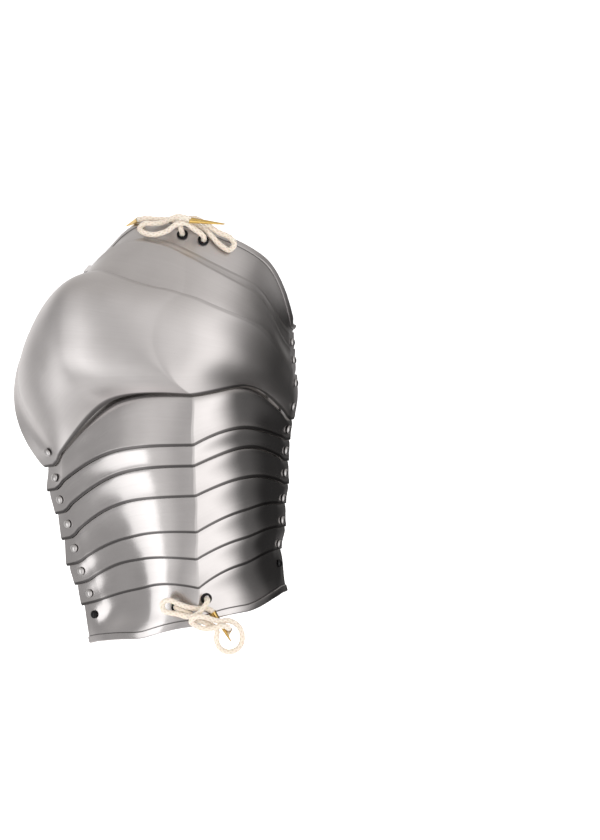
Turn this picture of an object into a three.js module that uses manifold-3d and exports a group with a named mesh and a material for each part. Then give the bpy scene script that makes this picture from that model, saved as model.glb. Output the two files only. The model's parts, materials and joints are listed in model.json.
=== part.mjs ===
// An articulated steel pauldron for the right shoulder, lying on the edges of its plates with the
// outside up. Millimetres: +Z is up, +Y runs from the arm to the neck, +X points to the wearer's front.
//
// One large shoulder plate carries three collar plates towards the neck and seven lames down the arm.
// Each plate slides under its neighbour and pivots on the line through two rivets, one at its rear end
// and one at its front end. Where two plates overlap, both follow a surface turned about that line.
import * as THREE from "three";
import { mergeVertices } from "three/addons/utils/BufferGeometryUtils.js";
import Module from "manifold-3d";

const wasm = await Module();
wasm.setup();

// Sheet metal
const STEEL = 1.2; // thickness of every plate
const PLAY = 0.9; // air between two plates where the outer one ends
const DOME_PLAY = 0.4; // extra air under the edges of the shoulder plate
const NEST = STEEL + PLAY; // how far a plate lies inside its outer neighbour
const RISE = 0.12; // slope at which a plate comes out from under its outer neighbour
const SINK_CROWN = 0.18; // slope at which a tucked edge dives further inside, at the crown
const SINK_END = 0.22; // the same at the riveted ends
const TUCK_CROWN = 12; // overlap at the crown
const TUCK_END = 18; // overlap at the riveted ends
const BEVEL = 2.6; // width of the bevel along a visible edge
const BEVEL_DROP = 0.7;
const BORDER = 6; // width of the turned border at the collar and at the last lame
const BORDER_SHARE = 0.6; // most of a plate's visible width that its border takes
const BORDER_RISE = 0.9;
const BORDER_STEP = 0.6; // width of the groove that sets the border off
const BORDER_ROUND = 0.9;

// Ends of the plates
const RIVET_Z = 9.5; // height of the rivet lines over the table
const FLAT = 11; // flat length of a plate beyond its rivet
const FLAT_SHARE = 0.16; // share of half an arch that its flat end takes
const END_SHARE = 0.1; // share of half an arch over which an edge keeps its end offset
const END_TURN = 6; // degrees that the arch turns where the flat end begins
const LEAN_SHARE = 0.6; // share of half an arch over which its lean grows from its level end
const SOFT = 20; // radius below which an overlap surface flattens
const HANDLE = 0.42; // length of an arch's curve handles, as a share of its chord

// The arches, from the neck to the arm. An arch stands on the line between two rivet centres.
//   rear, front: rivet centres seen from above; lean: degrees that it leans towards the neck
//   height: crown over the rivet line; ridge: where the crown is, as a share of the span from the rear
//   ends: slope of the rear and front ends; crest: slopes beside the ridge; full: rear handle length
//   edge: how far the visible plate edge lies neckwards of the arch, from rear end to front end
const ARCHES = {
  rim: {
    rear: [-61, 138], front: [119, 84], lean: 36, height: 83, ridge: 0.44,
    ends: [74, 76], crest: [3, 3], full: 0.42, edge: [7, 24, 35, 24, 24, 36, 9],
  },
  collar_outer: {
    rear: [-70, 127], front: [117, 77.5], lean: 38.5, height: 88, ridge: 0.46,
    ends: [78, 76], crest: [3, 3], full: 0.42, edge: [9, 2, 20, 0, -16, 12, 9],
  },
  collar_middle: {
    rear: [-79, 115], front: [117.5, 62], lean: 41, height: 98, ridge: 0.46,
    ends: [84, 76], crest: [3, 3], full: 0.44, edge: [9, 6, 22, 0, -19, 15, 10],
  },
  collar_inner: {
    rear: [-87, 102], front: [119.5, 41.5], lean: 27.5, height: 106, ridge: 0.48,
    ends: [90, 78], crest: [4, 4], full: 0.52, edge: [9, 41, -14, 0, -11, 22, 8],
  },
  joint_1: {
    rear: [-93, -19], front: [115.5, 20.5], lean: 16, height: 84, ridge: 0.628,
    ends: [48, 70], crest: [12, 14], full: 0.42, edge: [-13, 30, 24, 1, 1, 26, -12],
  },
  joint_2: {
    rear: [-91, -42], front: [113.5, 0], lean: 1, height: 82, ridge: 0.615,
    ends: [48, 70], crest: [12, 14], full: 0.42, edge: [-11, 18, 13, 1, 16, 5, -9],
  },
  joint_3: {
    rear: [-84, -61], front: [112, -18.5], lean: 1, height: 79, ridge: 0.609,
    ends: [48, 70], crest: [12, 14], full: 0.42, edge: [-12, 16, 14, 2, 12, 14, -9],
  },
  joint_4: {
    rear: [-78, -82.5], front: [111.5, -38], lean: -3, height: 76, ridge: 0.6,
    ends: [45, 70], crest: [12, 14], full: 0.42, edge: [-13, 16, 12, 2, 11, 8, -10],
  },
  joint_5: {
    rear: [-73, -104], front: [110, -60], lean: -9, height: 73, ridge: 0.587,
    ends: [42, 70], crest: [12, 14], full: 0.42, edge: [-14, 4, 13, 0, 12, 3, -5],
  },
  joint_6: {
    rear: [-65, -123.5], front: [109.5, -79.5], lean: -12, height: 70, ridge: 0.564,
    ends: [41, 70], crest: [12, 14], full: 0.42, edge: [-11, 5, 15, 0, 11, -1, -6],
  },
  joint_7: {
    rear: [-59, -143.5], front: [106, -100], lean: -16, height: 67, ridge: 0.561,
    ends: [42, 70], crest: [12, 14], full: 0.42, edge: [-9, -7, 21, -1, 15, -4, -5],
  },
  hem: {
    rear: [-54, -178], front: [108.5, -133], lean: -18, height: 62, ridge: 0.531,
    ends: [54, 70], crest: [12, 14], full: 0.42, edge: [-8, -11, 8, 3, 8, -14, -10],
  },
};

// Plates: [name, arch that it hangs on, arch where its visible edge is]
const LAMES = [
  ["lame_1", "joint_1", "joint_2"],
  ["lame_2", "joint_2", "joint_3"],
  ["lame_3", "joint_3", "joint_4"],
  ["lame_4", "joint_4", "joint_5"],
  ["lame_5", "joint_5", "joint_6"],
  ["lame_6", "joint_6", "joint_7"],
  ["lame_7", "joint_7", "hem"],
];
const COLLARS = [
  ["collar_inner", "collar_inner", "collar_middle"],
  ["collar_middle", "collar_middle", "collar_outer"],
  ["collar_outer", "collar_outer", "rim"],
];

// The dome of the shoulder plate, by column: how far it swells past the straight line between its two
// arches, how far round from level that swelling points, and how full it already is near its edges.
const END_STRAIGHT = 0.8; // how much straighter the dome starts from its edges at its ends
const SWELL = [
  [-1, 33.9, 0, 0.6],
  [-0.92, 32.9, 4, 0.05],
  [-0.82, 39, 13, 0.23],
  [-0.6, 43.5, 22, 0.81],
  [-0.3, 48, 17, 1.15],
  [0, 31.4, 29, 0.42],
  [0.4, 38.8, 48, 0.2],
  [0.75, 4, 100, 0],
  [1, 1.5, 175, 0],
];

// Rivets, eyelets and the arm strap
const RIVET = { head: 3.6, rise: 2.5, shank: 1.9, tail: 2.6, tailHeight: 0.7, hole: 2.5, sides: 8 };
const HEAD_PLAY = 0.25; // least air under a rivet head
const TAIL_PLAY = 0.4; // least air between a rivet's tail and the inner plate
const DRILL = 15; // how deep a rivet's hole is drilled
const EYELET = { bore: 2.9, barrel: 3.6, hole: 3.9, flange: 4.9, rise: 1.1, roll: 4.6, rollHeight: 0.8, sides: 12 };
const EYELET_SEAT = 0.6; // air under an eyelet's flanges where the plate bends away
const STRAP = { width: 22, thickness: 2.2, rivetBack: 16, tab: 7, gap: 1.9, sag: 4 };
const EYELETS = [
  // [name, plate, column, distance up from the plate's visible edge]
  ["eyelet_top_rear", "collar_outer", -0.06, 15.3],
  ["eyelet_top_front", "collar_outer", 0.05, 14.1],
  ["eyelet_hem_rear", "lame_7", -0.13, 18.2],
  ["eyelet_hem_front", "lame_7", 0.065, 19.9],
];
const SIDE_COLUMNS = 9; // columns of facets between a flat end and the ridge

// Arming points: a cotton cord through each pair of eyelets, tied in a bow, with a brass aglet at each
// end. The route is the cord's centre line, from one aglet over the knot to the other.
const CORD = { radius: 2.3, sides: 8, step: 4.8 };
const AGLET = { wide: 2.5, tip: 0.5, gap: 1 };
const CORD_TOP = {
  body: "collar_outer",
  route: [
    [-15, 182.5, 50], [-12.3, 183.3, 54.5], [-7.5, 183.5, 58], [0, 183, 59], [8, 182.5, 60],
    [15, 182.3, 62], [22, 180, 64.5], [28, 178.5, 66], [35, 177.5, 66], [43, 174, 66.5],
    [49, 168.5, 68], [56.5, 160.5, 69.5], [64.5, 155.8, 68.5], [69, 160.5, 66], [65.5, 166.5, 64.5],
    [55, 171.5, 66], [43, 179.5, 65.5], [34, 183.5, 67], [27.5, 182, 70], [22.5, 178, 72.5],
    [22.8, 174.2, 72.3], [23.9, 170.6, 68.5], [24.3, 167.1, 63.3], [26.5, 162.5, 57.5], [33, 160.5, 55],
    [39, 159.5, 57.5], [41.2, 162.1, 64.3], [42.9, 165.9, 70.8], [41, 169, 73.5], [34, 174, 74.5],
    [27, 178.5, 77], [19, 177.5, 77], [11, 172, 73.5], [0, 169, 72.5], [-9.5, 171, 66],
    [-13, 175, 61], [-8, 179, 63], [-3, 178.8, 64.5], [6, 179.5, 65.5], [14, 182.5, 71],
    [20, 184.5, 77], [26, 183.5, 80.5], [32, 181, 79],
  ],
  tips: [[-26, 178.5, 24], [61, 178, 73.5]],
};
const CORD_HEM = {
  body: "lame_7",
  route: [
    [51.5, -158.5, 70], [48.5, -155.5, 71.2], [44, -154, 72], [38, -154, 72.5], [30, -153, 75],
    [21, -150, 74.5], [13, -147, 72.5], [7, -149.5, 71], [8.5, -156, 72.5], [20, -158.7, 75.5],
    [29, -161, 76.5], [36, -159.5, 77.5], [42, -154, 77], [46, -147.6, 73.2], [44.8, -145.7, 67.1],
    [43.1, -145, 62], [39.5, -146.5, 56.5], [31, -150, 53.5], [24, -152.8, 55.5], [20.8, -153.5, 60.3],
    [18.6, -153.5, 67.3], [21.5, -154.8, 71.8], [29, -157.5, 71.5], [36, -163, 72.8],
    [44, -166.5, 72.5], [51, -169.5, 70], [54, -174, 66.5], [53.5, -182, 61.5], [57, -189.5, 58],
    [64.5, -192.5, 56.5], [73, -188.5, 57.5], [76, -179, 60.5], [72.5, -169.5, 64.5], [65, -165, 67.5],
    [57, -165, 72.5], [50, -163.5, 76.5], [43, -161, 81], [36.5, -160.8, 82.5], [32, -165, 80.5],
    [36.5, -169, 77.5], [44, -171.5, 76.5], [52, -170.5, 76], [59, -169, 75], [63.5, -170, 72],
    [64.3, -172.5, 67.5],
  ],
  tips: [[66, -183, 62], [63.5, -179, 40]],
};

const rad = THREE.MathUtils.degToRad;
const vec = (x, y, z) => new THREE.Vector3(x, y, z);
const smooth = (t) => THREE.MathUtils.smoothstep(t, 0, 1);

function bezier(a, b, c, d, t) {
  const u = 1 - t;
  return u * u * u * a + 3 * u * u * t * b + 3 * u * t * t * c + t * t * t * d;
}

// The rivet line of each arch, its direction, the level direction across it, and its span.
for (const arch of Object.values(ARCHES)) {
  arch.origin = vec(...arch.rear, RIVET_Z);
  const line = vec(...arch.front, RIVET_Z).sub(arch.origin);
  arch.span = line.length();
  arch.along = line.normalize();
  arch.neckward = vec(-arch.along.y, arch.along.x, 0);
}

// Where column c of an arch is: its distance along the span and its height over the rivet line.
// c runs from -1 at the rear foot over 0 at the ridge to 1 at the front foot.
function profile(arch, c) {
  const side = c <= 0 ? 0 : 1;
  const t = 1 - Math.abs(c);
  const slope = rad(arch.ends[side]);
  const flatX = FLAT * Math.cos(slope);
  const flatY = FLAT * Math.sin(slope);
  let x;
  let y;
  if (t <= FLAT_SHARE) {
    y = -RIVET_Z + ((flatY + RIVET_Z) * t) / FLAT_SHARE;
    x = y / Math.tan(slope);
  } else {
    const topX = arch.span * (side ? 1 - arch.ridge : arch.ridge);
    const topY = arch.height;
    const chord = Math.hypot(topX - flatX, topY - flatY);
    const low = chord * (side ? HANDLE : arch.full);
    const high = chord * HANDLE;
    const start = slope - rad(END_TURN);
    const crest = rad(arch.crest[side]);
    const w = (t - FLAT_SHARE) / (1 - FLAT_SHARE);
    x = bezier(flatX, flatX + low * Math.cos(start), topX - high * Math.cos(crest), topX, w);
    y = bezier(flatY, flatY + low * Math.sin(start), topY - high * Math.sin(crest), topY, w);
  }
  return [side ? arch.span - x : x, y];
}

function edgeOffset(arch, c) {
  const [a, b, d, top, e, f, g] = arch.edge;
  const t = Math.max(0, (1 - Math.abs(c) - END_SHARE) / (1 - END_SHARE));
  return c <= 0 ? bezier(a, b, d, top, t) : bezier(g, f, e, top, t);
}

// A point of the surface turned about the rivet line, at column c and an offset towards the neck.
function archPoint(arch, c, offset) {
  const [along, height] = profile(arch, c);
  const r = Math.max(height, 0);
  const up = height - (offset * offset * r) / (2 * (r * r + SOFT * SOFT));
  const lean = rad(arch.lean) * smooth((1 - Math.abs(c)) / LEAN_SHARE);
  const point = arch.origin.clone().addScaledVector(arch.along, along);
  point.addScaledVector(arch.neckward, up * Math.sin(lean) + offset * Math.cos(lean));
  point.z += up * Math.cos(lean) - offset * Math.sin(lean);
  return point;
}

const edgePoint = (arch, c) => archPoint(arch, c, edgeOffset(arch, c));

// A lame or collar plate as a surface of (c, v): v is 0 under its outer neighbour's edge and 1 at its
// own visible edge. The sign tells whether that edge looks to the neck (1) or to the arm (-1).
function plateSurface(from, to, sign, neighbour) {
  const width = (c) => edgePoint(from, c).distanceTo(edgePoint(to, c));
  const startDepth = (c) => neighbour.endDepth(c) + NEST;
  const endDepth = (c) => Math.max(0, startDepth(c) - RISE * width(c));
  const sink = (c) => THREE.MathUtils.lerp(SINK_CROWN, SINK_END, Math.abs(c) ** 3);
  const depth = (c, v) => {
    if (v < 0) return startDepth(c) - sink(c) * v * width(c);
    return THREE.MathUtils.lerp(startDepth(c), endDepth(c), v);
  };
  const point = (c, v) => {
    const w = width(c);
    const a = archPoint(from, c, edgeOffset(from, c) + sign * v * w);
    const b = archPoint(to, c, edgeOffset(to, c) - sign * (1 - v) * w);
    return a.lerp(b, smooth(v));
  };
  return { point, width, depth, endDepth, sign };
}

// The numbers of a table at x, on smooth curves through its rows. Each row starts with its own x.
function rowsAt(table, x) {
  const last = table.length - 1;
  const next = table.findIndex((row) => row[0] > x);
  const k = next < 0 ? last - 1 : Math.max(next, 1) - 1;
  const rise = (j, m) => (table[j + 1][m] - table[j][m]) / (table[j + 1][0] - table[j][0]);
  const slope = (j, m) => {
    if (j === 0) return rise(0, m);
    if (j === last) return rise(last - 1, m);
    const before = table[j][0] - table[j - 1][0];
    const after = table[j + 1][0] - table[j][0];
    return (rise(j - 1, m) * after + rise(j, m) * before) / (before + after);
  };
  const h = table[k + 1][0] - table[k][0];
  const t = (x - table[k][0]) / h;
  return table[k].slice(1).map((y, m) => {
    const [a, b] = [slope(k, m + 1) * h, slope(k + 1, m + 1) * h];
    const d = table[k + 1][m + 1] - y;
    return y + a * t + (3 * d - 2 * a - b) * t * t + (a + b - 2 * d) * t ** 3;
  });
}

// The shoulder plate: v is 0 at its lower edge and 1 at its upper edge.
function domeSurface(lower, upper) {
  const width = (c) => edgePoint(lower, c).distanceTo(edgePoint(upper, c));
  const point = (c, v) => {
    const [size, angle, fullness] = rowsAt(SWELL, c);
    const turn = rad(angle);
    const out = lower.along.clone().lerp(upper.along, v).multiplyScalar(-Math.cos(turn));
    out.z = Math.sin(turn);
    const straight = edgePoint(lower, c).lerp(edgePoint(upper, c), v);
    const slow = Math.max(Math.sin(Math.PI * v), 0) ** (1 + END_STRAIGHT * c ** 4);
    const full = 1 - Math.abs(2 * v - 1) ** 3;
    const belly = THREE.MathUtils.lerp(slow, full, fullness);
    return straight.addScaledVector(out.normalize(), size * belly);
  };
  return { point, width, depth: () => 0, endDepth: () => DOME_PLAY, sign: 1 };
}

function normalAt(surface, c, v) {
  const step = 0.004;
  const c0 = Math.max(c - step, -1);
  const c1 = Math.min(c + step, 1);
  const alongC = surface.point(c1, v).sub(surface.point(c0, v));
  const alongV = surface.point(c, v + step).sub(surface.point(c, v - step));
  return alongC.cross(alongV).multiplyScalar(surface.sign).normalize();
}

// A point that lies some depth inside a surface. An end that would pass the table is cut off there.
function shellPoint(surface, c, v, depth) {
  const p = surface.point(c, v).addScaledVector(normalAt(surface, c, v), -depth);
  if (Math.abs(c) === 1) {
    const inward = surface.point(c * (1 - FLAT_SHARE / 2), v).sub(surface.point(c, v)).normalize();
    p.addScaledVector(inward, -p.z / inward.z);
  }
  return p;
}

function columns() {
  const half = [0, FLAT_SHARE / 2];
  for (let i = 0; i <= SIDE_COLUMNS; i++) half.push(FLAT_SHARE + ((1 - FLAT_SHARE) * i) / SIDE_COLUMNS);
  const rear = half.map((t) => t - 1);
  return [...rear, ...rear.slice(0, -1).reverse().map((c) => -c)];
}

// Closes a grid of rows into a sheet. rows[j](c) gives the outer and the inner point of row j.
function sheet(rows) {
  const cs = columns();
  const n = cs.length;
  const rings = rows.map((row) => cs.map((c) => row(c)));
  const position = [];
  for (const face of [0, 1]) for (const ring of rings) for (const pair of ring) position.push(...pair[face]);
  const at = (face, j, i) => (face * rows.length + j) * n + i;
  const index = [];
  const quad = (a, b, c, d) => index.push(a, b, c, a, c, d);
  for (let j = 0; j + 1 < rows.length; j++) {
    for (let i = 0; i + 1 < n; i++) {
      quad(at(0, j, i), at(0, j, i + 1), at(0, j + 1, i + 1), at(0, j + 1, i));
      quad(at(1, j, i), at(1, j + 1, i), at(1, j + 1, i + 1), at(1, j, i + 1));
    }
    quad(at(0, j, 0), at(0, j + 1, 0), at(1, j + 1, 0), at(1, j, 0));
    quad(at(0, j, n - 1), at(1, j, n - 1), at(1, j + 1, n - 1), at(0, j + 1, n - 1));
  }
  const last = rows.length - 1;
  for (let i = 0; i + 1 < n; i++) {
    quad(at(0, 0, i), at(1, 0, i), at(1, 0, i + 1), at(0, 0, i + 1));
    quad(at(0, last, i), at(0, last, i + 1), at(1, last, i + 1), at(1, last, i));
  }
  const geometry = new THREE.BufferGeometry();
  geometry.setAttribute("position", new THREE.Float32BufferAttribute(position, 3));
  geometry.setIndex(index);
  return solidOf(geometry);
}

// A closed geometry as a manifold solid facing out, and a solid back as a geometry.
function solidOf(geometry) {
  const merged = geometry.clone();
  merged.deleteAttribute("normal");
  merged.deleteAttribute("uv");
  const welded = mergeVertices(merged, 1e-4);
  const make = (triVerts) =>
    new wasm.Manifold(
      new wasm.Mesh({ numProp: 3, vertProperties: welded.attributes.position.array, triVerts }),
    );
  const index = Array.from(welded.index.array);
  const faces = new Uint32Array(
    index.filter((_, k) => {
      const [a, b, c] = index.slice(k - (k % 3), k - (k % 3) + 3);
      return a !== b && b !== c && c !== a;
    }),
  );
  const solid = make(faces);
  return solid.volume() > 0 ? solid : make(faces.reverse());
}

function geometryOf(solid) {
  const { vertProperties, triVerts } = solid.getMesh();
  const geometry = new THREE.BufferGeometry();
  geometry.setAttribute("position", new THREE.BufferAttribute(vertProperties, 3));
  geometry.setIndex(new THREE.BufferAttribute(triVerts, 1));
  return geometry;
}

// A row of a sheet at a fixed place v(c), with depths for its outside and its inside.
function rowAt(surface, place, outer, inner) {
  return (c) => {
    const v = place(c);
    return [shellPoint(surface, c, v, outer(c, v)), shellPoint(surface, c, v, inner(c, v))];
  };
}

const tuck = (c) => THREE.MathUtils.lerp(TUCK_CROWN, TUCK_END, Math.abs(c) ** 3);

function plateRows(surface, bordered) {
  const row = (place, rise = 0) =>
    rowAt(surface, place, (c, v) => surface.depth(c, v) - rise, (c, v) => surface.depth(c, v) + STEEL);
  const trim = (c) => (bordered ? Math.min(BORDER, BORDER_SHARE * surface.width(c)) : BEVEL);
  const back = (distance) => (c) => 1 - distance(c) / surface.width(c);
  const lead = back(trim);
  const rows = [
    row((c) => -tuck(c) / surface.width(c)),
    row(() => 0),
    row((c) => 0.35 * lead(c)),
    row((c) => 0.7 * lead(c)),
  ];
  if (bordered) {
    rows.push(row(back((c) => trim(c) + BORDER_STEP)));
    rows.push(row(lead, BORDER_RISE));
    rows.push(row(back(() => BORDER_ROUND), BORDER_RISE));
    rows.push(row(() => 1));
  } else {
    rows.push(row(lead));
    rows.push(row(() => 1, -BEVEL_DROP));
  }
  return rows;
}

function domeRows(surface) {
  const row = (place, drop) => rowAt(surface, place, () => drop, () => STEEL);
  const inner = [0.08, 0.18, 0.3, 0.42, 0.55, 0.68, 0.8, 0.9];
  return [
    row(() => 0, BEVEL_DROP),
    row((c) => BEVEL / surface.width(c), 0),
    ...inner.map((v) => row((c) => (BEVEL + v * (surface.width(c) - 2 * BEVEL)) / surface.width(c), 0)),
    row((c) => 1 - BEVEL / surface.width(c), 0),
    row(() => 1, BEVEL_DROP),
  ];
}

// Materials
const finish = (color, metalness, roughness) => new THREE.MeshStandardMaterial({ color, metalness, roughness });
const steel = () => finish(0xb9b4b1, 1, 0.32);
const rivetSteel = () => finish(0xc9c7c6, 1, 0.2);
const blackened = () => finish(0x1c1b1b, 0.6, 0.4);
const cotton = () => finish(0xeadfd0, 0, 0.95);
const brass = () => finish(0xc79a3a, 1, 0.35);
const leather = () => finish(0x3a2a20, 0, 0.7);

const pauldron = new THREE.Group();
const group = { plates: new THREE.Group(), trim: new THREE.Group() };
pauldron.add(group.plates, group.trim);

// A solid becomes a named mesh. Body names the plate that it moves with.
function place(name, solid, material, parent, body) {
  const mesh = new THREE.Mesh(geometryOf(solid), material);
  mesh.name = name;
  mesh.userData.body = body;
  parent.add(mesh);
}

// Surfaces and blank plates
const surfaces = { shoulder: domeSurface(ARCHES.joint_1, ARCHES.collar_inner) };
const plates = { shoulder: sheet(domeRows(surfaces.shoulder)) };
for (const [sign, list] of [[-1, LAMES], [1, COLLARS]]) {
  let neighbour = surfaces.shoulder;
  for (const [name, from, to] of list) {
    surfaces[name] = plateSurface(ARCHES[from], ARCHES[to], sign, neighbour);
    neighbour = surfaces[name];
    plates[name] = sheet(plateRows(surfaces[name], to === "hem" || to === "rim"));
  }
}

// A place on a plate's outside: the point there and the direction out of the metal.
function seat(surface, c, v) {
  const on = (dc, dv) => shellPoint(surface, c + dc, v + dv, surface.depth(c + dc, v + dv));
  const alongC = on(0.01, 0).sub(on(-0.01, 0));
  const alongV = on(0, 0.01).sub(on(0, -0.01));
  return { at: on(0, 0), out: alongC.cross(alongV).multiplyScalar(surface.sign).normalize() };
}

// A solid turned about the normal at a seat. The profile is a list of [radius, height out of the metal].
function turned(profile, sides, { at, out }) {
  const geometry = new THREE.LatheGeometry(profile.map(([r, h]) => new THREE.Vector2(r, h)), sides);
  geometry.applyQuaternion(new THREE.Quaternion().setFromUnitVectors(vec(0, 1, 0), out));
  geometry.translate(at.x, at.y, at.z);
  return solidOf(geometry);
}

// A round bar along the normal at a seat, and a plate with such a bar taken out of it.
function bar(radius, from, to, sides, spot) {
  return turned([[0, from], [radius, from], [radius, to], [0, to]], sides, spot);
}

function drill(name, radius, sides, spot) {
  plates[name] = plates[name].subtract(bar(radius, -DRILL, DRILL / 3, sides, spot));
}

// The first distance, in steps of 0.1 mm, at which a disc held at it along the normal clears a solid.
function clearDistance(start, sign, radius, solid, spot) {
  let distance = start;
  const held = () => bar(radius, sign * distance, sign * distance + 0.3, RIVET.sides, spot);
  while (held().intersect(solid).volume() > 0) distance += 0.1;
  return distance;
}

// A rivet with a domed head over the outer solid and a tail under the inner one.
function rivetSolid(spot, outer, inner, stack) {
  const { head, rise, shank, tail, tailHeight, sides } = RIVET;
  const over = clearDistance(0, 1, head, outer, spot) + HEAD_PLAY;
  const under = clearDistance(stack, -1, tail, inner, spot) + TAIL_PLAY;
  const profile = [
    [0, -under - tailHeight],
    [tail, -under - tailHeight],
    [tail, -under],
    [shank, -under],
    [shank, over],
    [head, over],
    [0.9 * head, over + 0.4 * rise],
    [0.55 * head, over + 0.84 * rise],
    [0, over + rise],
  ];
  return turned(profile, sides, spot);
}

// The column where an arch crosses its rivet line, at the rear (-1) or the front (1).
function rivetColumn(arch, side) {
  const flatHeight = FLAT * Math.sin(rad(arch.ends[side < 0 ? 0 : 1]));
  return side * (1 - (FLAT_SHARE * RIVET_Z) / (RIVET_Z + flatHeight));
}

const SIDES = [["rear", -1], ["front", 1]];
for (const list of [LAMES, COLLARS]) {
  let outer = "shoulder";
  for (const [inner, from] of list) {
    for (const [end, side] of SIDES) {
      const c = rivetColumn(ARCHES[from], side);
      const lap = Math.abs(edgeOffset(ARCHES[from], c));
      const [over, under] = [surfaces[outer], surfaces[inner]];
      const start = lap / over.width(c);
      const spot = seat(over, c, inner === "lame_1" ? start : 1 - start);
      const below = -lap / under.width(c);
      const bottom = shellPoint(under, c, below, under.depth(c, below) + STEEL);
      const stack = spot.at.clone().sub(bottom).dot(spot.out);
      drill(outer, RIVET.hole, RIVET.sides, spot);
      drill(inner, RIVET.hole, RIVET.sides, spot);
      const solid = rivetSolid(spot, plates[outer], plates[inner], stack);
      place(`rivet_${inner}_${end}`, solid, rivetSteel(), group.trim, outer);
    }
    outer = inner;
  }
}

// The arm strap hangs between two dark rivets in the last lame.
const strapEnds = SIDES.map(([end, side]) => {
  const c = rivetColumn(ARCHES.hem, side);
  const plate = surfaces.lame_7;
  const back = STRAP.rivetBack + Math.abs(edgeOffset(ARCHES.hem, c));
  const spot = seat(plate, c, 1 - back / plate.width(c));
  drill("lame_7", RIVET.hole, RIVET.sides, spot);
  return spot;
});

// Side view of the strap along the line between its rivets: up from each rivet beside the plate, then
// over and down to a slack middle. It is as wide as the strap along the plates' run.
function strapSolid([rear, front]) {
  const line = front.at.clone().sub(rear.at);
  const length = Math.hypot(line.x, line.y);
  const across = line.setZ(0).normalize();
  const middleOf = ({ at, out }, side) => {
    const level = Math.hypot(out.x, out.y);
    const depth = STEEL + STRAP.gap + STRAP.thickness / 2;
    const x = (side < 0 ? 0 : length) - side * depth * level;
    const z = at.z - depth * out.z;
    return [[-side * out.z, level], [x, z]];
  };
  const half = (end, side) => {
    const [[dx, dz], [x, z]] = middleOf(end, side);
    const tab = (d, turn = 0) => {
      const a = Math.atan2(dz, Math.abs(dx)) - rad(turn);
      return [x + d * Math.cos(a) * Math.sign(dx), z + d * Math.sin(a)];
    };
    return [tab(-4.5), tab(0), tab(STRAP.tab), tab(STRAP.tab + 5, 9), tab(STRAP.tab + 12, 22)];
  };
  const sag = [[0.25, 0.8], [0.4, 0], [0.6, 0], [0.75, 0.8]].map(([t, k]) => [t * length, STRAP.sag * (1 + k)]);
  const spine = [...half(rear, -1), ...sag, ...half(front, 1).reverse()].map(([x, z]) => new THREE.Vector2(x, z));
  const outline = [1, -1].map((side) =>
    spine.map((p, i) => {
      const along = spine[Math.min(i + 1, spine.length - 1)].clone().sub(spine[Math.max(i - 1, 0)]).normalize();
      return p.clone().add(new THREE.Vector2(-along.y, along.x).multiplyScalar((side * STRAP.thickness) / 2));
    }),
  );
  const shape = new THREE.Shape([...outline[0], ...outline[1].reverse()]);
  const band = new THREE.ExtrudeGeometry(shape, { depth: STRAP.width, bevelEnabled: false, steps: 1 });
  band.translate(0, 0, -STRAP.width / 2);
  const run = ARCHES.hem.origin.clone().sub(ARCHES.joint_7.origin).normalize();
  band.applyMatrix4(new THREE.Matrix4().makeBasis(across, vec(0, 0, 1), run).setPosition(rear.at.x, rear.at.y, 0));
  const [a, b] = [rear, front].map((end) => bar(RIVET.hole, -DRILL, 0, RIVET.sides, end));
  return solidOf(band).subtract(a).subtract(b);
}

const strap = strapSolid(strapEnds);
place("arm_strap", strap, leather(), group.trim, "lame_7");
strapEnds.forEach((spot, i) => {
  const solid = rivetSolid(spot, plates.lame_7, strap, STEEL + STRAP.gap + STRAP.thickness);
  place(`strap_rivet_${SIDES[i][0]}`, solid, blackened(), group.trim, "lame_7");
});

// Black eyelets: a flange outside, a barrel through the plate and a rolled rim inside.
for (const [name, plate, c, up] of EYELETS) {
  const { bore, barrel, hole, flange, rise, roll, rollHeight, sides } = EYELET;
  const spot = seat(surfaces[plate], c, 1 - up / surfaces[plate].width(c));
  const inside = -STEEL - EYELET_SEAT;
  const profile = [
    [bore, inside - rollHeight],
    [roll, inside - rollHeight],
    [roll, inside],
    [barrel, inside],
    [barrel, EYELET_SEAT],
    [flange, EYELET_SEAT],
    [flange, EYELET_SEAT + 0.5 * rise],
    [0.88 * flange, EYELET_SEAT + rise],
    [bore, EYELET_SEAT + rise],
    [bore, inside - rollHeight],
  ];
  drill(plate, hole, sides, spot);
  place(name, turned(profile, sides, spot), blackened(), group.trim, plate);
}

function roundShape(radius, sides) {
  const corners = Array.from({ length: sides }, (_, k) => {
    const turn = ((k + 0.5) * 2 * Math.PI) / sides;
    return new THREE.Vector2(radius * Math.cos(turn), radius * Math.sin(turn));
  });
  return new THREE.Shape(corners);
}

for (const [name, { body, route, tips }] of Object.entries({ cord_top: CORD_TOP, cord_hem: CORD_HEM })) {
  const points = route.map((p) => vec(...p));
  const path = new THREE.CatmullRomCurve3(points, false, "centripetal");
  const steps = Math.round(path.getLength() / CORD.step);
  const tube = { steps, bevelEnabled: false, extrudePath: path };
  const cord = new THREE.ExtrudeGeometry(roundShape(CORD.radius, CORD.sides), tube);
  place(name, solidOf(cord), cotton(), group.trim, body);
  tips.forEach((tip, i) => {
    const start = i ? points.at(-1) : points[0];
    const out = vec(...tip).sub(start);
    const length = out.length();
    const cone = [[0, AGLET.gap], [AGLET.wide, AGLET.gap], [AGLET.tip, length], [0, length]];
    const spot = { at: start, out: out.normalize() };
    place(`aglet_${name.slice(5)}_${i + 1}`, turned(cone, CORD.sides, spot), brass(), group.trim, body);
  });
}

for (const [name, solid] of Object.entries(plates)) place(name, solid, steel(), group.plates, name);

// The origin is under the middle of the box around everything but the cords and their aglets.
const box = new THREE.Box3();
pauldron.traverse((part) => {
  if (part.isMesh && !/^(cord|aglet)_/.test(part.name)) box.expandByObject(part);
});
const middle = box.getCenter(vec(0, 0, 0));
pauldron.position.set(-middle.x, -middle.y, 0);

export default pauldron;
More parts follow.
